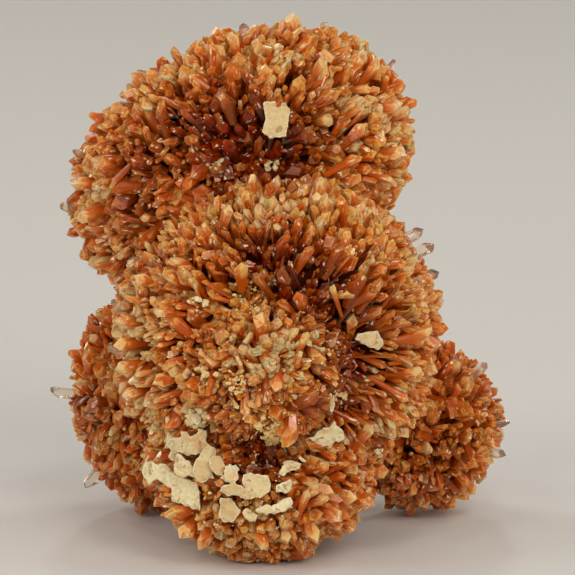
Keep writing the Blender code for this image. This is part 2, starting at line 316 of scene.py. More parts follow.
# Places with their own colouring: a pixel of the photograph, how far it reaches in millimetres,
# and how much paler, deeper and more golden it is than the rest.
PLACES = (
    (262, 352, 12, 0.75, -0.40, 0.15),
    (300, 340, 6, 0.40, -0.30, 0.10),
    (240, 300, 6, 0.30, -0.20, 0.50),
    (290, 262, 9, -0.40, 0.65, 0.0),
    (352, 325, 10, -0.70, 1.20, 0.0),
    (330, 285, 8, -0.50, 0.90, 0.0),
    (345, 390, 8, -0.40, 0.75, 0.0),
    (268, 447, 6, -0.40, 1.00, 0.0),
    (365, 225, 9, 0.00, -0.20, 0.45),
    (300, 190, 9, 0.40, -0.20, 0.50),
    (238, 200, 7, 0.40, -0.20, 0.40),
    (225, 225, 8, -0.20, 0.50, 0.0),
    (205, 345, 6, -0.30, 0.40, 0.0),
    (420, 320, 8, 0.50, -0.15, 0.35),
    (400, 385, 8, 0.60, -0.10, 0.45),
    (135, 330, 10, 0.70, -0.20, 0.0),
    (140, 400, 10, 0.70, -0.20, 0.0),
    (185, 270, 8, 0.35, -0.05, 0.10),
    (250, 145, 11, -0.50, 1.00, 0.0),
    (292, 152, 9, -0.50, 1.00, 0.0),
    (160, 150, 11, -0.30, 0.35, -0.1),
    (215, 110, 8, -0.30, 0.40, 0.0),
    (335, 120, 11, 0.35, -0.10, 0.35),
    (290, 45, 11, 0.45, -0.10, 0.35),
    (240, 80, 9, -0.20, 0.10, 0.0),
    (140, 235, 9, 0.00, 0.15, 0.0),
    (85, 190, 8, 0.45, -0.10, 0.15),
    (150, 75, 8, 0.40, -0.10, 0.25),
    (398, 130, 9, 0.55, -0.20, 0.45),
    (260, 530, 9, 0.55, -0.10, 0.20),
    (195, 520, 7, 0.50, -0.10, 0.20),
    (340, 480, 8, 0.35, 0.00, 0.10),
    (430, 440, 9, 0.10, 0.15, 0.35),
    (95, 420, 10, 0.10, 0.05, 0.0),
)
PLACE_MIDDLES = [on_skin(column, row) for column, row, *_ in PLACES]


# Pale, deep and golden: the mean over the whole, and two drifts over space, each with its
# strength, its seed and how far it reaches.
DRIFTS = (
    (0.16, (0.16, 90, 14), (0.20, 91, 4.2)),
    (0.27, (0.16, 94, 12), (0.22, 95, 4.6)),
    (0.18, (0.18, 97, 16), (0.18, 98, 5.0)),
)


def colouring(points):
    """How pale, deep and golden the crystals are at each of the points, as three columns."""
    hue = []
    for mean, *drifts in DRIFTS:
        values = np.full(len(points), mean)
        for strength, seed, reach in drifts:
            values = values + strength * swell(points, seed, reach)
        hue.append(values)
    hue = np.stack(hue, 1)
    for middle, (_, _, reach, *change) in zip(PLACE_MIDDLES, PLACES):
        share = smooth(1 - np.linalg.norm(points - middle, axis=1) / reach)
        hue = hue + share[:, None] * np.array(change)
    return np.clip(hue, 0, 1)


# A fine grid over the photograph's view, in which the flakes' depths are kept: the size of a
# cell, the grid's corner and how many cells it has.
CELL = 0.15
GRID_CORNER = np.array((-32.0, -2.0))
GRID_SIZE = (430, 460)
# How finely each triangle of a flake is sampled.
FLAKE_SAMPLES = 12
# How far down its axis a crystal is tested, and the room that it leaves in front of a flake.
TESTED_DEPTHS = (0.0, 0.7, 1.5, 2.4)
FLAKE_ROOM = 0.7
# A crystal in front of a flake is drawn back so many times, by so much.
DRAW_COUNT = 6
DRAW_STEP = 0.6


def grid_cells(points):
    """The cells of the view that the points fall in: columns and rows."""
    flat = np.stack([points[..., 0], points @ VIEW_UP], -1)
    cells = ((flat - GRID_CORNER) / CELL).astype(int)
    return np.clip(cells[..., 0], 0, GRID_SIZE[0] - 1), np.clip(cells[..., 1], 0, GRID_SIZE[1] - 1)


def seen_flakes(margin):
    """The flakes' front depths, widened by a margin of so many cells."""
    grid = np.full(GRID_SIZE, np.inf)
    steps = FLAKE_SAMPLES
    shares = [(i, j, steps - i - j) for i in range(steps + 1) for j in range(steps + 1 - i)]
    shares = np.array(shares) / steps
    for name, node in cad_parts.items():
        if name.startswith("matrix_flake"):
            node.data.calc_loop_triangles()
            corners = np.array([v.co for v in node.data.vertices]) / MM + MIDDLE
            triangles = np.array([tuple(t.vertices) for t in node.data.loop_triangles])
            points = np.einsum("sk,tkc->tsc", shares, corners[triangles]).reshape(-1, 3)
            np.minimum.at(grid, grid_cells(points), points @ SIGHT)
    for _ in range(margin):
        wider = grid.copy()
        for axis in (0, 1):
            for step in (-1, 1):
                wider = np.minimum(wider, np.roll(grid, step, axis))
        grid = wider
    return np.where(np.isinf(grid), -np.inf, grid)


FLAKE_DEPTHS = seen_flakes(3)


def covers_flake(tip, axis):
    """Whether each crystal's upper part lies in front of a flake, which it would hide."""
    hidden = np.zeros(len(tip), bool)
    for down in TESTED_DEPTHS:
        points = tip - axis * down
        hidden |= points @ SIGHT < FLAKE_DEPTHS[grid_cells(points)] + FLAKE_ROOM
    return hidden


def drawn_back(tip, axis):
    """The tips, with those in front of a flake drawn back until they lie behind it."""
    tip = tip.copy()
    for _ in range(DRAW_COUNT):
        hidden = covers_flake(tip, axis)
        tip[hidden] -= axis[hidden] * DRAW_STEP
    return tip, ~covers_flake(tip, axis)


def hollow_angle(ball, directions):
    """Degrees from the middle of the ball's main hollow."""
    return np.degrees(np.arccos(np.clip(directions @ ball.hollows[0].toward, -1, 1)))


def splayed(ball, directions):
    """Which way crystals splay round the ball's main hollow, and how far each is in it.

    They splay most in the upper right, as the photograph shows.
    """
    lean = np.zeros_like(directions)
    share = np.zeros(len(directions))
    for hollow in ball.hollows[:1]:
        angle = hollow_angle(ball, directions)
        away = directions - (directions @ hollow.toward)[:, None] * hollow.toward
        # It fades in from the hollow's middle, and out again past its rim.
        outer = math.degrees(hollow.outer)
        part = smooth(angle / 16) * smooth((outer + 30 - angle) / 34)
        share += part
        upper_right = smooth(0.45 + away[:, 0] * 0.7 + away[:, 2] * 0.6)
        lean += unit(away) * (part * (0.35 + 0.65 * upper_right))[:, None]
    return lean @ ball.turn.T, np.clip(share, 0, 1)


# Lumps in how far the crystals reach: the height, seed step and reach of each.
LUMPS = ((0.8, 50, 7.0), (0.5, 60, 3.2))
# How strongly neighbours lean alike, over what reach, each crystal's own lean, and the most.
LEAN_ALIKE = 0.36
LEAN_REACH = 4.0
LEAN_OWN = 0.27
LEAN_MOST = 0.75
# Past this angle from its hollow, a ball's crystals turn paler and less deep.
RIM_ANGLE = 52
RIM_REACH = 26
RIM_CHANGE = 0.20
# The share of the crystals that are much paler than their neighbours.
PALE_SHARE = 0.14
PALE_CHANGE = 0.5
WIDEST = 2.7
# A crystal's tip has to be this close to the skin of any other ball, or outside it.
BURIED = 2.6
# How low a tip may be. It is cut off at the table.
LOWEST_TIP = -1.0
# How much lower, and by what share shorter and narrower, crystals are in the main hollow.
HOLLOW_LOWER = 1.4
HOLLOW_SHORTER = 0.42
HOLLOW_NARROWER = 0.5
# The room that each crystal of a dense six-sided pattern takes, for a spacing of one.
SIX_SIDED_ROOM = 0.866


def grow_ball(crystals, name, seed, spacing, width, length, uneven, splay, sink=0.0):
    """Crystals all over a ball, but for those that would be buried in another.

    Those in its main hollow are shorter, narrower and lower, and the finer layer sinks a
    little under the main one.
    """
    ball = BALLS[name]
    chance = np.random.default_rng(seed)
    mean = ball.radii.mean() - sink
    count = int(4 * math.pi * mean * mean / (SIX_SIDED_ROOM * spacing**2))
    directions = sphere_directions(count, 0.95, chance)
    skin = ball.skin(directions, sink)
    outward = unit(skin - ball.centre)
    away, in_hollow = splayed(ball, directions)
    lump = sum(swell(skin, seed + step, far) * height for height, step, far in LUMPS)
    reach = lump * uneven + chance.normal(0, 0.34, count) * uneven
    reach = np.minimum(reach, 0.9 * uneven) - 0.6 * uneven
    reach -= np.abs(chance.normal(0, HOLLOW_LOWER, count)) * in_hollow * splay
    tip = skin + outward * reach[:, None]
    lean = scatter_lean(skin, seed + 70, LEAN_REACH) * LEAN_ALIKE
    lean += chance.normal(0, LEAN_OWN, (count, 3))
    lean /= np.maximum(1, np.linalg.norm(lean, axis=1, keepdims=True) / LEAN_MOST)
    axis = unit(outward + lean + away * splay)
    length = length * chance.uniform(0.85, 1.1, count) * (1 - HOLLOW_SHORTER * in_hollow)
    foot = tip - axis * length[:, None]
    tip, keep = drawn_back(tip, axis)
    for other, body in BALLS.items():
        if other != name:
            keep &= body.depth_of(tip, BURIED) < 0
    keep &= tip[:, 2] > LOWEST_TIP
    coarse = np.exp(0.22 * swell(skin, seed + 80, 8.0))
    size = width * coarse * np.clip(chance.lognormal(0, 0.40, count), 0.45, 2.3)
    size = np.minimum(size * (1 - HOLLOW_NARROWER * splay * in_hollow), WIDEST)
    tint = chance.uniform(0, 1, count)
    hue = colouring(tip)
    if ball.hollows:
        outside = smooth((hollow_angle(ball, directions) - RIM_ANGLE) / RIM_REACH)
        hue[:, 0] += RIM_CHANGE * outside
        hue[:, 1] -= RIM_CHANGE * outside
    hue[chance.uniform(0, 1, count) < PALE_SHARE, 0] += PALE_CHANGE
    hue = np.clip(hue, 0, 1)
    crystals.add(*[column[keep] for column in (foot, tip, size, tint, hue)])


# Crystals shorter than this are coloured like the upper end of one this long.
COLOURED_LENGTH = 6.0


def set_out(shape, foot, tip, width, spin):
    """Copies of one kind of crystal, each along its own axis.

    Gives their corners, how far across and how far down its crystal each corner lies, and
    the crystals' lengths.
    """
    axis = tip - foot
    length = np.linalg.norm(axis, axis=1)
    axis = axis / length[:, None]
    helper = np.where(np.abs(axis[:, 2:]) < 0.8, [[0, 0, 1.0]], [[1.0, 0, 0]])
    side = unit(np.cross(axis, helper))
    ahead = np.cross(axis, side)
    turn_c, turn_s = np.cos(spin)[:, None], np.sin(spin)[:, None]
    side, ahead = side * turn_c + ahead * turn_s, ahead * turn_c - side * turn_s
    taper = np.where(shape["is_root"], ROOT_TAPER, 1.0)
    across = shape["across"] * taper[:, None]
    across = across[None] * width[:, None, None]
    down = np.where(shape["is_root"], length[:, None], shape["down"] * width[:, None])
    corners = (
        tip[:, None, :]
        + side[:, None, :] * across[:, :, :1]
        + ahead[:, None, :] * across[:, :, 1:]
        - axis[:, None, :] * down[:, :, None]
    )
    return corners, across, down, length


# How far apart the crystals are in the material's patterns, at most, so that no two are alike.
PATTERN_SHIFT = 60


def crystal_piece(name, crystals, seed, material):
    """One mesh of many crystals, each a copy of one of the modelled kinds.

    Each corner carries how far along its crystal it lies, the crystal's tint and hue, whether
    it is on a facet's rim, and its place in the material's patterns. Each face carries a
    number of its own.
    """
    foot, tip, width, tint, hue = crystals.columns()
    chance = np.random.default_rng(seed)
    kind = chance.integers(0, len(CRYSTAL_KINDS), len(foot))
    spin = chance.uniform(0, math.tau, len(foot))
    shift = chance.uniform(0, PATTERN_SHIFT, (len(foot), 3))
    all_corners, all_faces = [], []
    numbers = {"along": [], "tint": [], "rim": []}
    triples = {"hue": [], "grain": []}
    start = 0
    for number, shape in enumerate(CRYSTAL_KINDS):
        own = np.nonzero(kind == number)[0]
        count = len(shape["is_root"])
        corners, across, down, length = set_out(shape, foot[own], tip[own], width[own], spin[own])
        all_corners.append(corners.reshape(-1, 3))
        along = 1 - down / np.maximum(length, COLOURED_LENGTH)[:, None]
        grain = np.concatenate([across, down[:, :, None]], 2) + shift[own][:, None, :]
        numbers["along"].append(along.reshape(-1))
        numbers["tint"].append(np.repeat(tint[own], count))
        numbers["rim"].append(np.tile(shape["rim"], len(own)))
        triples["hue"].append(np.repeat(hue[own], count, axis=0))
        triples["grain"].append(grain.reshape(-1, 3))
        for crystal in range(len(own)):
            all_faces.extend(shifted(shape["faces"], start + crystal * count))
        start += len(own) * count
    corners = np.concatenate(all_corners)
    corners[:, 2] = np.maximum(corners[:, 2], 0)
    piece = put_together(name, corners, all_faces)
    mesh = piece.data
    for label, values in numbers.items():
        set_number(mesh, label, np.concatenate(values))
    for label, values in triples.items():
        attribute = mesh.attributes.new(label, "FLOAT_VECTOR", "POINT")
        values = np.concatenate(values).astype(np.float32)
        attribute.data.foreach_set("vector", values.ravel())
    # A random number for each face, which picks which facets get painted shade and which get
    # painted glints.
    facet = mesh.attributes.new("facet", "FLOAT", "FACE")
    facet.data.foreach_set("value", chance.uniform(0, 1, len(all_faces)).astype(np.float32))
    mesh.materials.append(material)
    mesh.update()
    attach(piece, "root")
    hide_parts("crystal_cluster")


class Value:
    """A shader socket that sums like a number. Each sum adds a Math node."""

    def __init__(self, finish, socket):
        self.finish = finish
        self.socket = socket

    def _math(self, operation, *terms):
        sockets = dict(enumerate(terms))
        return self.finish.node("ShaderNodeMath", {"operation": operation}, sockets)

    def __add__(self, other):
        return self._math("ADD", self, other)

    def __radd__(self, other):
        return self._math("ADD", other, self)

    def __sub__(self, other):
        return self._math("SUBTRACT", self, other)

    def __rsub__(self, other):
        return self._math("SUBTRACT", other, self)

    def __mul__(self, other):
        return self._math("MULTIPLY", self, other)

    def __rmul__(self, other):
        return self._math("MULTIPLY", other, self)

    def clipped(self):
        """The value, kept between 0 and 1."""
        return self._math("MINIMUM", self._math("MAXIMUM", self, 0), 1)


class Finish:
    """A material that is built node by node round one Principled shader."""

    def __init__(self, name, **fixed):
        self.material = bpy.data.materials.new(name)
        self.material.use_nodes = True
        self.tree = self.material.node_tree
        self.shader = self.tree.nodes["Principled BSDF"]
        for socket, value in fixed.items():
            self.shader.inputs[socket.replace("_", " ")].default_value = value

    def node(self, kind, settings=None, sockets=None, output=0):
        """A new node with its settings and its sockets set or linked. Gives one output."""
        node = self.tree.nodes.new(kind)
        for key, value in (settings or {}).items():
            setattr(node, key, value)
        for key, value in (sockets or {}).items():
            if isinstance(value, Value):
                self.tree.links.new(value.socket, node.inputs[key])
            else:
                node.inputs[key].default_value = value
        return Value(self, node.outputs[output])

    def attribute(self, name):
        """A number that the mesh carries."""
        return self.node("ShaderNodeAttribute", {"attribute_name": name}, output="Fac")

    def triple(self, name):
        """Three numbers that the mesh carries, as a vector."""
        return self.node("ShaderNodeAttribute", {"attribute_name": name}, output="Vector")

    def part(self, vector, axis):
        """One of the three numbers of a vector."""
        return self.node("ShaderNodeSeparateXYZ", None, {"Vector": vector}, output=axis)

    def stretch(self, vector, factors):
        """The vector, each of its numbers times its own factor."""
        settings = {"operation": "MULTIPLY"}
        return self.node("ShaderNodeVectorMath", settings, {0: vector, 1: factors})

    def bump(self, height, distance):
        """Let the surface rise with the height, by this distance at most."""
        sockets = {"Height": height, "Distance": distance, "Strength": 1.0}
        self.wire("Normal", self.node("ShaderNodeBump", None, sockets))

    def place(self):
        """The place in metres, in the object's own coordinates."""
        return self.node("ShaderNodeTexCoord", output="Object")

    def noise(self, where, scale, detail=2.0, roughness=0.5):
        """A soft random value at each place."""
        sockets = {"Vector": where, "Scale": scale, "Detail": detail, "Roughness": roughness}
        return self.node("ShaderNodeTexNoise", None, sockets)

    def cells(self, where, scale):
        """A random value for each small cell of space, with sharp borders between them."""
        sockets = {"Vector": where, "Scale": scale}
        return self.part(self.node("ShaderNodeTexVoronoi", None, sockets, output="Color"), "X")

    def mix(self, low, high, share):
        """A colour between low and high, which are colours or other mixes."""
        settings = {"data_type": "RGBA", "clamp_factor": True}
        low, high = [c if isinstance(c, Value) else (*c, 1) for c in (low, high)]
        return self.node("ShaderNodeMix", settings, {0: share, 6: low, 7: high}, output=2)

    def ease(self, value, low, high):
        """A smooth rise from 0 to 1 while the value goes from low to high."""
        settings = {"interpolation_type": "SMOOTHSTEP"}
        sockets = {"Value": value, "From Min": low, "From Max": high}
        return self.node("ShaderNodeMapRange", settings, sockets)

    def wire(self, socket, value):
        """Link a value to a socket of the Principled shader."""
        self.tree.links.new(value.socket, self.shader.inputs[socket])


def crystal_finish(name, clearness, transmission, glow, specular):
    """Creedite: dark red-brown at the root, orange above it and pale at the tip.

    Each crystal carries how pale, deep and golden it is. Clearness takes the colour out
    above the root, and glow is the share of light that scatters under the surface.
    """
    finish = Finish(
        name,
        Transmission_Weight=transmission,
        IOR=1.47,
        Specular_IOR_Level=specular,
        Specular_Tint=(1.0, 0.86, 0.66, 1),
        Subsurface_Weight=glow,
        Subsurface_Radius=(1.0, 0.72, 0.5),
        Subsurface_Scale=0.8 * MM,
    )
    along = finish.attribute("along")
    tint = finish.attribute("tint")
    hue = finish.triple("hue")
    pale = finish.part(hue, "X")
    deep = finish.part(hue, "Y")
    gold = finish.part(hue, "Z")
    rim = finish.attribute("rim")
    facet = finish.attribute("facet")
    grain = finish.triple("grain")
    cloud = finish.noise(grain, 1.1, 3.0, 0.6)
    streaks = finish.noise(finish.stretch(grain, (3.4, 3.4, 0.7)), 1.0, 2.0, 0.5)
    specks = finish.noise(grain, 3.2, 2.0, 0.6)
    painted_reflection_shards = finish.cells(finish.stretch(grain, (1.7, 1.7, 0.75)), 1.0)
    painted_sparkle_cells = finish.cells(finish.stretch(grain, (4.6, 4.6, 1.8)), 1.0)
    # The colours of the crystal's inside, from its root to its tip.
    root = finish.mix((0.56, 0.085, 0.003), (0.050, 0.004, 0.0004), finish.ease(deep, 0.1, 0.9))
    root = finish.mix(root, (0.62, 0.13, 0.010), pale * 0.6)
    flame = finish.mix((0.42, 0.032, 0.001), (0.78, 0.084, 0.001), finish.ease(tint, 0, 0.5))
    flame = finish.mix(flame, (0.90, 0.16, 0.003), finish.ease(tint, 0.55, 1.0))
    flame = finish.mix(flame, (0.92, 0.29, 0.008), gold * 0.8)
    flame = finish.mix(flame, (0.27, 0.014, 0.0005), deep * 0.95)
    flesh = finish.mix(flame, (0.84, 0.20, 0.018), pale * 0.8)
    tip = finish.mix((0.86, 0.19, 0.008), (0.95, 0.50, 0.13), finish.ease(pale, 0.05, 0.9))
    tip = finish.mix(tip, (0.97, 0.48, 0.04), gold * 0.7)
    tip = finish.mix(tip, flame, deep * 0.7)
    milky = finish.ease(pale, 0.70, 1.0)
    tip = finish.mix(tip, (0.93, 0.73, 0.40), milky * 0.8)
    flesh = finish.mix(flesh, (0.90, 0.44, 0.12), milky * 0.7)
    reach = along + cloud * 0.16 - 0.08
    body = finish.mix(root, flesh, finish.ease(reach, 0.56, 0.84))
    body = finish.mix(body, root, finish.ease(streaks, 0.46, 0.64) * 0.6)
    colour = finish.mix(body, tip, finish.ease(reach + pale * 0.07, 0.86, 1.0))
    # Painted shade in the middles of the facets, and painted light and painted shade in
    # sharp-edged patches of the inside, standing in for reflections from within the crystal.
    inner = finish.ease(0 - rim, -0.62, -0.10)
    colour = finish.mix(colour, flame, inner * (0.4 - pale * 0.25))
    high = finish.ease(reach, 0.60, 0.84)
    colour = finish.mix(colour, root, finish.ease(0 - painted_reflection_shards, -0.30, -0.24) * 0.45)
    painted_shard_light = finish.ease(painted_reflection_shards, 0.76, 0.82) * high * (0.35 + pale * 0.35 - deep * 0.35)
    colour = finish.mix(colour, (0.97, 0.55, 0.16), painted_shard_light.clipped())
    # Painted light and painted shade: some single facets are darkened, others and the rims between
    # them carry painted glints, and small painted sparkles are scattered over the upper part.
    colour = finish.mix(colour, root, finish.ease(0 - facet, -0.30, -0.05) * 0.45)
    painted_facet_glint = finish.ease(facet, 0.74, 0.96) * high * (0.45 + pale * 0.4 - deep * 0.5)
    colour = finish.mix(colour, (0.99, 0.62, 0.20), painted_facet_glint.clipped())
    edge = finish.ease(rim, 0.80, 0.96) * high * painted_reflection_shards * (0.35 + pale * 0.5 - deep * 0.4)
    colour = finish.mix(colour, (0.98, 0.72, 0.32), edge.clipped())
    colour = finish.mix(colour, (1.0, 0.86, 0.58), finish.ease(painted_sparkle_cells, 0.955, 0.965) * high * 0.8)
    colour = finish.mix(colour, (1.0, 0.92, 0.78), finish.ease(reach, 0.2, 0.6) * clearness)
    finish.wire("Base Color", colour)
    finish.wire("Roughness", (0.04 + tint * tint * 0.22 + specks * 0.05).clipped())
    finish.bump(cloud * 0.5 + streaks * 0.7 + specks * 0.15, 0.00003)
    return finish.material


def core_finish():
    """The dark red inside of the balls, which shows only between the crystals."""
    finish = Finish("crystal_roots", Roughness=0.9, Specular_IOR_Level=0.1)
    cloud = finish.noise(finish.place(), 300.0, 3.0)
    colour = finish.mix((0.030, 0.004, 0.001), (0.075, 0.012, 0.002), cloud)
    finish.wire("Base Color", colour)
    return finish.material


def matrix_finish():
    """The matrix: dull cream clay with darker stains, fine ridges, painted shade in small pitted
    spots and a rough rim with painted light on it.
    """
    finish = Finish("pale_matrix", Roughness=0.85)
    where = finish.place()
    cloud = finish.noise(where, 420.0, 4.0, 0.6)
    grit = finish.noise(where, 2600.0, 3.0, 0.65)
    ridges = finish.noise(finish.stretch(where, (900.0, 900.0, 3600.0)), 1.0, 2.0, 0.5)
    tone = finish.attribute("tone")
    stain = finish.noise(where, 260.0, 2.0, 0.5)
    colour = finish.mix((0.48, 0.32, 0.13), (0.82, 0.69, 0.37), finish.ease(cloud, 0.32, 0.54))
    colour = finish.mix(colour, (0.89, 0.82, 0.54), finish.ease(grit, 0.44, 0.62) * 0.8)
    colour = finish.mix(colour, (0.70, 0.34, 0.09), finish.ease(stain, 0.56, 0.70) * 0.6)
    colour = finish.mix(colour, (0.62, 0.40, 0.17), finish.attribute("beige") * 0.8)
    # Painted shade in small pitted spots.
    painted_pit_shade = finish.noise(where, 1100.0, 2.0, 0.5)
    colour = finish.mix(colour, (0.34, 0.20, 0.08), finish.ease(painted_pit_shade, 0.60, 0.68) * 0.7)
    # Painted light on the clay where its sides face across the view.
    painted_brink_light = finish.ease(finish.attribute("edge"), 0.66, 0.92)
    colour = finish.mix(colour, (0.90, 0.82, 0.56), painted_brink_light * 0.8)
    colour = finish.mix(colour, (0.80, 0.50, 0.11), tone)
    finish.wire("Base Color", colour)
    finish.bump(grit + ridges * 0.6, 0.00012)
    return finish.material


CREEDITE = crystal_finish(
    "creedite", clearness=0.0, transmission=0.2, glow=0.65, specular=0.45
)
PALE_CREEDITE = crystal_finish(
    "pale_creedite", clearness=0.0, transmission=0.2, glow=0.5, specular=0.5
)
CLEAR_CREEDITE = crystal_finish(
    "clear_creedite", clearness=0.94, transmission=0.9, glow=0.0, specular=0.5
)
ROOTS = core_finish()
MATRIX = matrix_finish()

# Each ball: how far apart its crystals are, their width and length, how uneven they are and
# how far they splay round its hollow.
GROWTH = {
    "front": (1.46, 1.55, 8.0, 1.2, 0.50),
    "dome": (1.26, 1.42, 5.5, 1.1, 0.0),
    "base": (1.48, 1.52, 5.5, 1.2, 0.2),
    "top": (1.56, 1.74, 8.0, 1.3, 0.08),
    "left": (1.50, 1.55, 6.5, 1.3, 0.0),
    "right": (1.45, 1.50, 6.5, 1.3, 0.0),
    "back": (1.60, 1.65, 6.5, 1.2, 0.0),
    "foot": (1.30, 1.35, 3.5, 0.6, 0.0),
}
# The finer layer's width and length, as shares of the main one's, and how far it sinks.
FINER_WIDTH = 0.66
FINER_LENGTH = 0.8
FINER_SINK = 0.2

# Lone crystals that stand out: the ball, degrees in the picture from the right towards up,
# degrees back, how far they stand out, their width and whether they are clear.
LONE_CRYSTALS = (
    ("top", 68, 4, 0.9, 1.7, True),
    ("top", 104, -6, 1.3, 2.2, False),
    ("top", 96, -4, 1.0, 1.5, True),
    ("top", 154, 4, 1.1, 2.4, False),
    ("top", 166, -4, 1.0, 1.9, True),
    ("top", 188, -4, 1.2, 1.9, True),
    ("top", 199, -4, 1.0, 1.8, False),
    ("top", 132, 0, 0.8, 2.1, True),
    ("top", 38, -2, 1.0, 2.0, True),
    ("top", 20, -4, 1.0, 1.8, False),
    ("front", 35, 6, 1.9, 1.7, True),
    ("front", 31, -4, 2.3, 1.9, True),
    ("front", 21, 2, 1.2, 1.9, True),
    ("front", 10, 8, 0.9, 1.9, True),
    ("front", 1, 4, 1.0, 2.2, False),
    ("front", 168, -8, 0.9, 1.8, True),
    ("front", 184, -10, 0.9, 2.0, True),
    ("front", 201, -10, 0.9, 1.9, True),
    ("left", 177, -8, 2.6, 2.1, True),
    ("left", 137, -4, 1.0, 2.4, False),
    ("left", 156, -4, 1.0, 2.0, False),
    ("left", 222, -10, 2.2, 2.1, True),
    ("left", 256, -16, 1.2, 2.2, False),
    ("right", 44, -4, 1.0, 1.7, True),
    ("right", 4, -10, 0.9, 1.6, True),
    ("right", 344, -10, 0.9, 1.6, True),
    ("right", 84, -6, 1.2, 1.8, False),
)
# Their widths are scaled by this, they are rooted this deep, and the clear ones are this pale.
LONE_WIDTH = 0.86
LONE_SUNK = 5.0
CLEAR_PALE = 0.8


def grow_lone(clear, orange):
    """The lone crystals, each from its ball's middle outwards."""
    chance = np.random.default_rng(77)
    for name, turn, back, out, width, is_clear in LONE_CRYSTALS:
        ball = BALLS[name]
        turn = math.radians(turn)
        back = math.radians(back)
        across = math.cos(turn) * math.cos(back)
        direction = np.array([(across, math.sin(back), math.sin(turn) * math.cos(back))])
        direction = direction @ ball.turn
        skin = ball.skin(direction)
        outward = unit(skin - ball.centre)
        tip = skin + outward * out
        axis = unit(outward + chance.normal(0, 0.06, (1, 3)))
        foot = tip - axis * (out + LONE_SUNK)
        hue = colouring(tip)
        if is_clear:
            hue[:, 0] = CLEAR_PALE
        group = clear if is_clear else orange
        group.add(foot, tip, np.array([width * LONE_WIDTH]), chance.uniform(0, 1, 1), hue)


# Bigger, paler crystals: how many there are on a ball of this radius, and their length.
BIG_COUNT = 60
BIG_RADIUS = 15
BIG_LENGTH = 6.5


def grow_big(crystals):
    """Single bigger, paler crystals on the outermost parts of the balls."""
    chance = np.random.default_rng(78)
    for name, ball in BALLS.items():
        own = int(BIG_COUNT * (ball.radii.mean() / BIG_RADIUS) ** 2)
        directions = unit(chance.normal(size=(own, 3)))
        skin = ball.skin(directions)
        outward = unit(skin - ball.centre)
        tip = skin + outward * chance.uniform(-0.4, 0.9, (own, 1))
        axis = unit(outward + chance.normal(0, 0.16, (own, 3)))
        keep = (tip[:, 2] > 1.0) & ~covers_flake(tip, axis)
        keep &= ball.sunk(directions) < 0.05
        for other, body in BALLS.items():
            if other != name:
                keep &= body.depth_of(tip) < -0.5
        width = chance.uniform(1.3, 2.1, own)
        hue = colouring(tip)
        hue[:, 0] = np.maximum(hue[:, 0], chance.uniform(0.3, 1.0, own))
        row = (tip - axis * BIG_LENGTH, tip, width, chance.uniform(0, 1, own), hue)
        crystals.add(*[column[keep] for column in row])


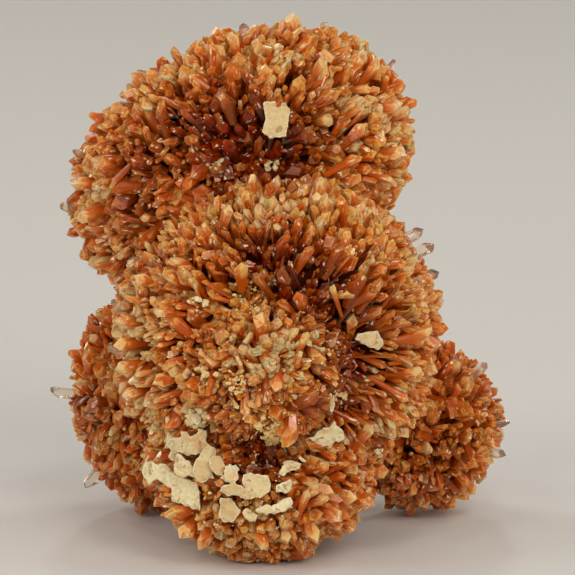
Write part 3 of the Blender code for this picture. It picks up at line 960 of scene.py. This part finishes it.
# Single crystals that the photograph shows: its pixel, degrees in the picture from the right
# towards up, degrees towards the viewer, length, width, and how pale, deep and golden.
SEEN_CRYSTALS = (
    (333, 292, 108, 35, 2.2, 1.0, 1.0, 0.0, 1.0),
    (346, 294, 6, 20, 2.2, 1.2, 1.0, 0.0, 1.0),
    (351, 322, 80, 45, 2.4, 1.9, 0.9, 0.0, 0.6),
    (262, 320, 84, 35, 2.6, 2.2, 0.8, 0.0, 1.0),
    (290, 430, 268, 12, 3.9, 2.6, 0.3, 0.0, 1.0),
    (368, 428, 50, 30, 2.0, 1.6, 1.0, 0.0, 0.0),
    (341, 205, 96, 30, 2.6, 1.6, 0.6, 0.0, 0.8),
    (242, 268, 92, 40, 2.0, 1.9, 0.8, 0.0, 0.6),
    (228, 214, 75, 20, 2.0, 1.5, 0.9, 0.2, 0.0),
    (345, 240, 70, 35, 2.8, 1.4, 0.7, 0.0, 0.4),
    (308, 252, 60, 30, 2.0, 1.3, 0.4, 0.4, 0.0),
    (300, 300, 110, 30, 2.8, 1.8, 0.2, 0.4, 0.1),
    (314, 486, 40, 30, 2.4, 1.6, 0.9, 0.0, 0.2),
    (322, 496, 20, 30, 2.0, 1.4, 0.9, 0.0, 0.2),
    (306, 492, 70, 30, 1.8, 1.2, 0.9, 0.0, 0.2),
    (129, 322, 178, 24, 3.2, 1.7, 1.0, 0.0, 0.0),
    (126, 344, 184, 24, 3.2, 1.9, 1.0, 0.0, 0.0),
    (129, 366, 190, 24, 3.2, 1.8, 1.0, 0.0, 0.1),
    (134, 392, 196, 24, 3.2, 1.8, 1.0, 0.0, 0.0),
    (132, 412, 204, 24, 3.0, 1.7, 1.0, 0.0, 0.0),
    (137, 300, 170, 24, 3.0, 1.6, 0.8, 0.0, 0.3),
    (146, 280, 158, 24, 3.0, 1.6, 0.9, 0.0, 0.2),
    (293, 24, 88, 4, 3.0, 2.2, 1.0, 0.0, 0.0),
    (234, 42, 104, 8, 2.6, 1.6, 1.0, 0.0, 0.0),
    (141, 80, 132, 8, 3.0, 2.1, 0.9, 0.0, 0.3),
    (153, 80, 122, 14, 2.8, 1.7, 0.8, 0.0, 0.3),
    (82, 184, 182, 10, 3.0, 1.9, 1.0, 0.0, 0.0),
    (88, 216, 196, 10, 3.0, 1.9, 1.0, 0.0, 0.0),
    (358, 60, 60, 10, 3.0, 2.1, 1.0, 0.0, 0.1),
    (373, 70, 48, 10, 2.8, 1.7, 0.9, 0.0, 0.3),
    (392, 108, 22, 10, 3.0, 2.2, 1.0, 0.0, 0.2),
    (395, 156, 356, 10, 3.0, 2.1, 1.0, 0.0, 0.1),
    (386, 180, 344, 12, 3.0, 2.1, 1.0, 0.0, 0.2),
    (178, 512, 196, 24, 3.4, 2.5, 0.8, 0.0, 0.2),
    (188, 528, 228, 24, 3.2, 2.2, 0.9, 0.0, 0.1),
    (206, 537, 250, 20, 3.0, 2.1, 0.8, 0.0, 0.2),
    (312, 528, 300, 24, 3.2, 2.2, 0.9, 0.0, 0.0),
    (332, 512, 325, 24, 3.2, 2.2, 0.9, 0.0, 0.0),
    (345, 494, 340, 24, 3.0, 1.9, 0.8, 0.0, 0.0),
    (262, 536, 268, 24, 3.2, 2.1, 0.8, 0.0, 0.2),
    (412, 372, 5, 30, 2.6, 1.6, 0.9, 0.0, 0.4),
    (420, 335, 12, 16, 3.2, 1.7, 0.9, 0.0, 0.3),
    (180, 262, 150, 40, 2.6, 1.6, 0.9, 0.0, 0.1),
    (166, 312, 170, 45, 2.6, 1.6, 0.9, 0.0, 0.0),
    (252, 186, 100, 20, 3.0, 1.5, 0.9, 0.0, 0.4),
    (320, 190, 70, 20, 3.0, 1.5, 0.9, 0.0, 0.4),
)
# Each is lifted off the skin by this share of its width, stands out by this share of its
# length, and is rooted so much deeper than its length.
SEEN_LIFT = 0.3
SEEN_OUT = 0.45
SEEN_SUNK = 2.5


def grow_seen(crystals):
    """The single crystals of the photograph, each where its pixel meets the balls."""
    chance = np.random.default_rng(79)
    for column, row, turn, toward, length, width, *hue in SEEN_CRYSTALS:
        turn = math.radians(turn)
        toward = math.radians(toward)
        flat = np.array((math.cos(turn), 0, 0)) + VIEW_UP * math.sin(turn)
        axis = flat * math.cos(toward) - SIGHT * math.sin(toward)
        middle = on_skin(column, row) - SIGHT * SEEN_LIFT * width
        tip = middle + axis * length * SEEN_OUT
        foot = tip - axis * (length + SEEN_SUNK)
        crystals.add(
            foot[None], tip[None], np.array([width]), chance.uniform(0, 1, 1), np.array([hue])
        )


def grow_all():
    """Every crystal: the balls' own in two layers, and those that stand alone."""
    clear = Crystals()
    lone = Crystals()
    grow_big(lone)
    grow_seen(lone)
    grow_lone(clear, lone)
    for number, (ball_name, row) in enumerate(GROWTH.items()):
        spacing, width, length, uneven, splay = row
        crystals = Crystals()
        grow_ball(crystals, ball_name, 100 + number, spacing, width, length, uneven, splay)
        finer = (width * FINER_WIDTH, length * FINER_LENGTH, uneven, splay, FINER_SINK)
        grow_ball(crystals, ball_name, 200 + number, spacing, *finer)
        crystal_piece(ball_name + "_crystals", crystals, 300 + number, CREEDITE)
    crystal_piece("clear_crystals", clear, 320, CLEAR_CREEDITE)
    crystal_piece("lone_crystals", lone, 321, PALE_CREEDITE)


# Crusts of clay crumbs: the photo's pixel at their middle, their reach in pixels, how many,
# their mean size in millimetres and how yellow they are.
CRUSTS = (
    (197, 416, 10, 34, 0.55, 0.1),
    (270, 428, 15, 60, 0.50, 0.6),
    (240, 298, 20, 40, 0.24, 0.7),
    (202, 372, 8, 14, 0.45, 0.4),
    (238, 382, 9, 40, 0.30, 0.5),
    (200, 303, 8, 12, 0.42, 0.1),
    (337, 398, 9, 16, 0.45, 0.2),
    (379, 450, 6, 8, 0.45, 0.2),
    (272, 163, 9, 18, 0.50, 0.2),
    (212, 162, 9, 16, 0.50, 0.2),
    (262, 352, 60, 50, 0.20, 0.2),
    (236, 484, 62, 90, 0.24, 0.2),
    (180, 240, 30, 24, 0.22, 0.4),
    (350, 335, 34, 24, 0.25, 0.6),
)


def crumb_shape(seed):
    """One angular crumb about a unit across: its corners and faces."""
    deselect_all()
    bpy.ops.mesh.primitive_ico_sphere_add(subdivisions=2, radius=0.5)
    edit_all()
    bpy.ops.transform.resize(value=(1.15, 0.9, 0.7))
    bpy.ops.transform.vertex_random(offset=0.16, normal=0.4, seed=seed)
    bpy.ops.object.mode_set(mode="OBJECT")
    return taken_apart(bpy.context.object)


def grow_crusts():
    """All the crumbs as one mesh, each half sunk among the crystals."""
    chance = np.random.default_rng(90)
    shapes = [crumb_shape(seed) for seed in (1, 2, 3)]
    all_corners, all_faces, all_tones = [], [], []
    start = 0
    for column, row, reach, count, size, yellow in CRUSTS:
        for _ in range(count):
            turn = chance.uniform(0, math.tau)
            out = reach * math.sqrt(chance.uniform(0, 1))
            place = on_skin(column + out * math.cos(turn), row + out * math.sin(turn), 0.5)
            corners, faces = shapes[chance.integers(3)]
            angle = chance.uniform(0, math.tau)
            spin = np.array(Matrix.Rotation(angle, 3, unit(chance.normal(size=3))))
            own = size * float(np.clip(chance.lognormal(0, 0.4), 0.4, 2.0))
            all_corners.append(corners @ spin.T * own + place)
            all_faces.extend(shifted(faces, start))
            all_tones.append(np.full(len(corners), yellow + chance.uniform(-0.15, 0.15)))
            start += len(corners)
    crusts = put_together("clay_crusts", np.concatenate(all_corners), all_faces)
    set_number(crusts.data, "tone", np.concatenate(all_tones))
    crusts.data.materials.append(MATRIX)
    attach(crusts, "root")


# Thin plates of clay and pale crystal that lie between the flakes: the photo's pixel at their
# middle, their width and height in pixels, their turn and how beige they are.
PLATES = (
    (184, 466, 17, 25, 8, 0.2), (204, 467, 20, 30, -12, 0.9), (209, 452, 17, 16, 30, 0.4),
    (218, 463, 16, 22, 10, 1.0), (233, 487, 27, 12, 8, 0.9), (246, 491, 17, 11, -10, 0.8),
    (250, 512, 17, 12, -20, 0.6), (232, 470, 20, 16, 25, 0.3), (266, 507, 20, 9, -18, 0.4),
    (165, 470, 15, 17, 20, 0.2), (151, 464, 16, 22, -25, 0.8), (196, 446, 18, 14, 40, 0.6),
    (176, 454, 13, 11, -15, 0.7), (290, 461, 18, 6, -20, 0.3), (302, 457, 10, 5, -35, 0.4),
    (203, 433, 9, 15, 15, 0.2), (172, 440, 9, 16, 10, 0.3), (198, 417, 11, 14, 20, 0.1),
    (331, 401, 6, 18, 8, 0.3), (338, 434, 12, 14, -30, 0.1),
)
# The modelled plates are a fifth as thick as they are wide, and that is scaled by this.
PLATE_DEPTH = 2.1


def plate_shape(seed):
    """One thin uneven plate about a unit across, its broad face along +Z."""
    deselect_all()
    bpy.ops.mesh.primitive_cylinder_add(vertices=7, radius=0.5, depth=0.2, end_fill_type="NGON")
    edit_all()
    bpy.ops.transform.vertex_random(offset=0.20, normal=0.0, seed=seed)
    bpy.ops.mesh.quads_convert_to_tris()
    bpy.ops.object.mode_set(mode="OBJECT")
    return taken_apart(bpy.context.object)


def lay_plates():
    """All the plates as one mesh, each facing the viewer, roughly."""
    chance = np.random.default_rng(95)
    shapes = [plate_shape(seed) for seed in range(11, 19)]
    all_corners, all_faces, middles = [], [], []
    start = 0
    for number, (column, row, width, height, turn, _) in enumerate(PLATES):
        corners, faces = shapes[number % len(shapes)]
        scale = np.array((width * PIXEL, height * PIXEL, PLATE_DEPTH))
        turned = (corners * scale) @ np.array(Matrix.Rotation(math.radians(-turn), 3, "Z"))
        right = unit(np.array((1, 0, 0)) + chance.normal(0, 0.16, 3))
        up = unit(np.cross(-SIGHT + chance.normal(0, 0.12, 3), right))
        place = on_skin(column, row, 0.5) - SIGHT * 0.2
        toward = np.cross(right, up)
        all_corners.append(turned @ np.stack([right, up, toward]) + place)
        all_faces.extend(shifted(faces, start))
        middles.append(place)
        start += len(corners)
    plates = put_together("loose_plates", np.concatenate(all_corners), all_faces)
    places = roughen(plates, 0.05, 0.03)
    apart = np.linalg.norm(places[:, None] - np.array(middles)[None], axis=2)
    own_beige = np.array([beige for *_, beige in PLATES])
    set_number(plates.data, "beige", own_beige[np.argmin(apart, axis=1)])
    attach(plates, "root")


VOXEL = 0.14
# The painted light's mark on the edges spreads to its neighbours, so much weaker each time.
EDGE_SPREAD = 0.92
# How far the roughened plates and flakes are moved towards the viewer.
FORWARD = 0.3


def roughen(obj, bend_size, grain_size):
    """Remesh an object finely, bend and roughen it, mark its edges for painted light and give it
    clay's finish.
    """
    work_on(obj)
    remesh = obj.modifiers.new("remesh", "REMESH")
    remesh.mode = "VOXEL"
    remesh.voxel_size = VOXEL * MM
    bpy.ops.object.modifier_apply(modifier="remesh")
    mesh = obj.data
    places = np.array([v.co for v in mesh.vertices]) / MM + MIDDLE
    normals = np.array([v.vector for v in mesh.vertex_normals])
    bend = swell(places, 401, 7.0) * bend_size + FORWARD
    rough = (swell(places, 402, 1.3) + swell(places, 405, 0.6) * 0.6) * grain_size
    places = places - SIGHT * bend[:, None] + normals * rough[:, None]
    for vertex, place in zip(mesh.vertices, (places - MIDDLE) * MM):
        vertex.co = place
    # Where the sides face across the view: the strength of the painted light on the clay's rims.
    edge = smooth(1.1 - 1.3 * np.abs(normals @ SIGHT))
    pairs = np.array([tuple(e.vertices) for e in mesh.edges])
    for _ in range(2):
        grown = edge.copy()
        np.maximum.at(grown, pairs[:, 0], edge[pairs[:, 1]] * EDGE_SPREAD)
        np.maximum.at(grown, pairs[:, 1], edge[pairs[:, 0]] * EDGE_SPREAD)
        edge = grown
    set_number(mesh, "edge", edge)
    mesh.materials.clear()
    mesh.materials.append(MATRIX)
    bpy.ops.object.shade_smooth()
    return places


# How beige each flake is, for those that aren't plain cream.
BEIGE_FLAKES = {
    "flake_low_diamond_skin": 0.9,
    "flake_ledge_middle_skin": 0.5,
    "flake_ledge_left_skin": 0.5,
    "flake_left_pair_skin": 0.4,
    "flake_left_shelf_skin": 0.4,
    "flake_top_hollow_skin": 0.8,
    "flake_trench_right_skin": 0.8,
}


def rough_flake(name, node):
    """A finer copy of a flake's solid, warped and roughened, with the clay finish."""
    flake = bpy.data.objects.new(name, node.data.copy())
    bpy.context.collection.objects.link(flake)
    work_on(flake)
    edit_all()
    bpy.ops.mesh.remove_doubles(threshold=1e-6)
    bpy.ops.object.mode_set(mode="OBJECT")
    places = roughen(flake, 0.22, 0.06)
    set_number(flake.data, "beige", np.full(len(places), BEIGE_FLAKES.get(name, 0.0)))
    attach(flake, "root")
    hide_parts(node.name)


def rough_flakes():
    """A roughened copy of each flake of matrix."""
    for name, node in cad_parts.items():
        if name.startswith("matrix_flake"):
            rough_flake(name.replace("matrix_", "") + "_skin", node)


# How far inside the crystals' tips the roots lie, and how near they come to the table.
ROOTS_INSET = 4.0
FOOT_ROOTS_INSET = 2.4
ROOTS_LOWEST = 0.4


def make_roots():
    """The inside of the balls, which the crystals are rooted in."""
    deselect_all()
    parts = []
    for name, ball in BALLS.items():
        bpy.ops.mesh.primitive_ico_sphere_add(subdivisions=4, radius=1)
        part = bpy.context.object
        directions = np.array([unit(np.array(v.co)) for v in part.data.vertices])
        inset = FOOT_ROOTS_INSET if name == "foot" else ROOTS_INSET
        places = ball.skin(directions, inset)
        places[:, 2] = np.maximum(places[:, 2], ROOTS_LOWEST)
        for vertex, place in zip(part.data.vertices, (places - MIDDLE) * MM):
            vertex.co = place
        parts.append(part)
    deselect_all()
    for part in parts:
        part.select_set(True)
    bpy.context.view_layer.objects.active = parts[0]
    bpy.ops.object.join()
    roots = bpy.context.object
    roots.name = "crystal_roots"
    roots.data.materials.clear()
    roots.data.materials.append(ROOTS)
    bpy.ops.object.shade_smooth()
    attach(roots, "root")
    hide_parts("crystal_cluster")


# The wall rises in steps, each so many degrees steeper than the last.
FLOOR_RADIUS = 2.6
WALL_STEP = 0.30
WALL_STEPS = 8
WALL_TURN = 11


def make_floor():
    """A pale floor that curves up into a wall all round, in metres.

    It glows a little far out, where the lamps don't reach, so that it is pale there too.
    """
    deselect_all()
    bpy.ops.mesh.primitive_circle_add(
        vertices=96, radius=FLOOR_RADIUS, fill_type="NGON", location=(0, 0, -0.0002)
    )
    floor = bpy.context.object
    floor.name = "floor"
    bpy.ops.object.mode_set(mode="EDIT")
    bpy.ops.mesh.select_mode(type="EDGE")
    bpy.ops.mesh.select_all(action="SELECT")
    bpy.ops.mesh.region_to_loop()
    for step in range(1, WALL_STEPS + 1):
        slope = math.radians(step * WALL_TURN)
        wider = 1 + WALL_STEP * math.cos(slope) / FLOOR_RADIUS
        bpy.ops.mesh.extrude_edges_move(
            TRANSFORM_OT_translate={"value": (0, 0, WALL_STEP * math.sin(slope))}
        )
        bpy.ops.transform.resize(value=(wider, wider, 1))
    bpy.ops.object.mode_set(mode="OBJECT")
    bpy.ops.object.shade_smooth()
    finish = Finish("pale_floor", Roughness=0.6, Emission_Strength=0.46)
    where = finish.place()
    cloud = finish.noise(where, 3.0, 2.0)
    out = finish.node("ShaderNodeVectorMath", {"operation": "LENGTH"}, {0: where}, output="Value")
    far = finish.ease(out, 0.25, 1.1)
    finish.wire("Emission Color", finish.mix((0, 0, 0), (0.80, 0.76, 0.70), far))
    finish.wire("Base Color", finish.mix((0.70, 0.675, 0.63), (0.74, 0.715, 0.67), cloud))
    floor.data.materials.append(finish.material)


# The lamps aim at this place, in metres.
LIT_PLACE = Vector((0, 0, 0.03))


def soft_light(name, place, width, height, power, colour):
    """A flat lamp that faces the specimen."""
    light = bpy.data.lights.new(name, "AREA")
    light.shape = "RECTANGLE"
    light.size = width
    light.size_y = height
    light.energy = power
    light.color = colour
    obj = bpy.data.objects.new(name, light)
    obj.location = place
    obj.rotation_euler = (LIT_PLACE - Vector(place)).to_track_quat("-Z", "Y").to_euler()
    bpy.context.collection.objects.link(obj)


# The soft lamps: where each is, its width and height, all in metres, and its watts.
LAMPS = (
    ("key_light", (0.20, -0.42, 0.33), 0.24, 0.24, 0.90),
    ("fill_light", (-0.42, -0.26, 0.26), 0.24, 0.24, 0.42),
    ("top_light", (0.0, 0.10, 0.50), 0.28, 0.28, 0.22),
    ("rim_light", (0.36, 0.30, 0.20), 0.12, 0.20, 0.40),
    ("back_light", (-0.34, 0.34, 0.22), 0.12, 0.20, 0.40),
)
WARM = (1.0, 0.94, 0.86)
WHITE = (1, 1, 1)

# Small bright lamps that make the facets glint: degrees round from the front to the right,
# degrees up, and watts.
SPARKS = (
    (-62, 32, 0.15), (-30, 48, 0.15), (-14, 22, 0.12), (12, 62, 0.15), (26, 14, 0.12),
    (44, 40, 0.15), (74, 24, 0.15), (-48, 14, 0.12), (4, 38, 0.12), (60, 58, 0.12),
    (-80, 54, 0.12), (130, 40, 0.18), (180, 30, 0.18), (230, 42, 0.18),
)
# How far away they are, and their size.
SPARK_REACH = 0.55
SPARK_SIZE = 0.055


def make_lights():
    """Soft warm lamps, small bright ones and a faint even light from all sides."""
    for name, place, width, height, power in LAMPS:
        soft_light(name, place, width, height, power, WARM)
    for number, (turn, rise, power) in enumerate(SPARKS):
        turn = math.radians(turn)
        rise = math.radians(rise)
        out = SPARK_REACH * math.cos(rise)
        up = LIT_PLACE.z + SPARK_REACH * math.sin(rise)
        place = (out * math.sin(turn), -out * math.cos(turn), up)
        soft_light("spark_%d" % number, place, SPARK_SIZE, SPARK_SIZE, power, WHITE)
    world = bpy.data.worlds.new("studio")
    world.use_nodes = True
    background = world.node_tree.nodes["Background"]
    background.inputs["Color"].default_value = (0.82, 0.76, 0.68, 1)
    background.inputs["Strength"].default_value = 0.05
    bpy.context.scene.world = world


# The photograph spans this much. Its middle is this far to the right of its lowest crystals,
# and this far above them.
PHOTO_SPAN = 69.0
PHOTO_RIGHT = 1.26
PHOTO_UP = 32.7
# The camera's distance, and how far behind the front ball's middle it aims.
CAMERA_DISTANCE = 1000.0
AIM_BEHIND = 5


def make_camera():
    """A camera that looks as the photograph does, from the front and a little above."""
    middle = LOW_PLACE + np.array((PHOTO_RIGHT, 0, 0)) + VIEW_UP * PHOTO_UP
    middle = middle + SIGHT * (AIM_BEHIND - middle[1]) / SIGHT[1]
    camera = bpy.data.cameras.new("camera")
    camera.sensor_width = 36
    camera.lens = camera.sensor_width * CAMERA_DISTANCE / PHOTO_SPAN
    obj = bpy.data.objects.new("camera", camera)
    obj.location = (middle - SIGHT * CAMERA_DISTANCE - MIDDLE) * MM
    obj.rotation_euler = (math.pi / 2 - LOOK_DOWN, 0, 0)
    camera.clip_start = 0.01
    camera.clip_end = 20
    bpy.context.collection.objects.link(obj)
    bpy.context.scene.camera = obj


grow_all()
grow_crusts()
lay_plates()
rough_flakes()
make_roots()
make_floor()
make_lights()
make_camera()
bpy.context.scene.view_settings.view_transform = "Standard"
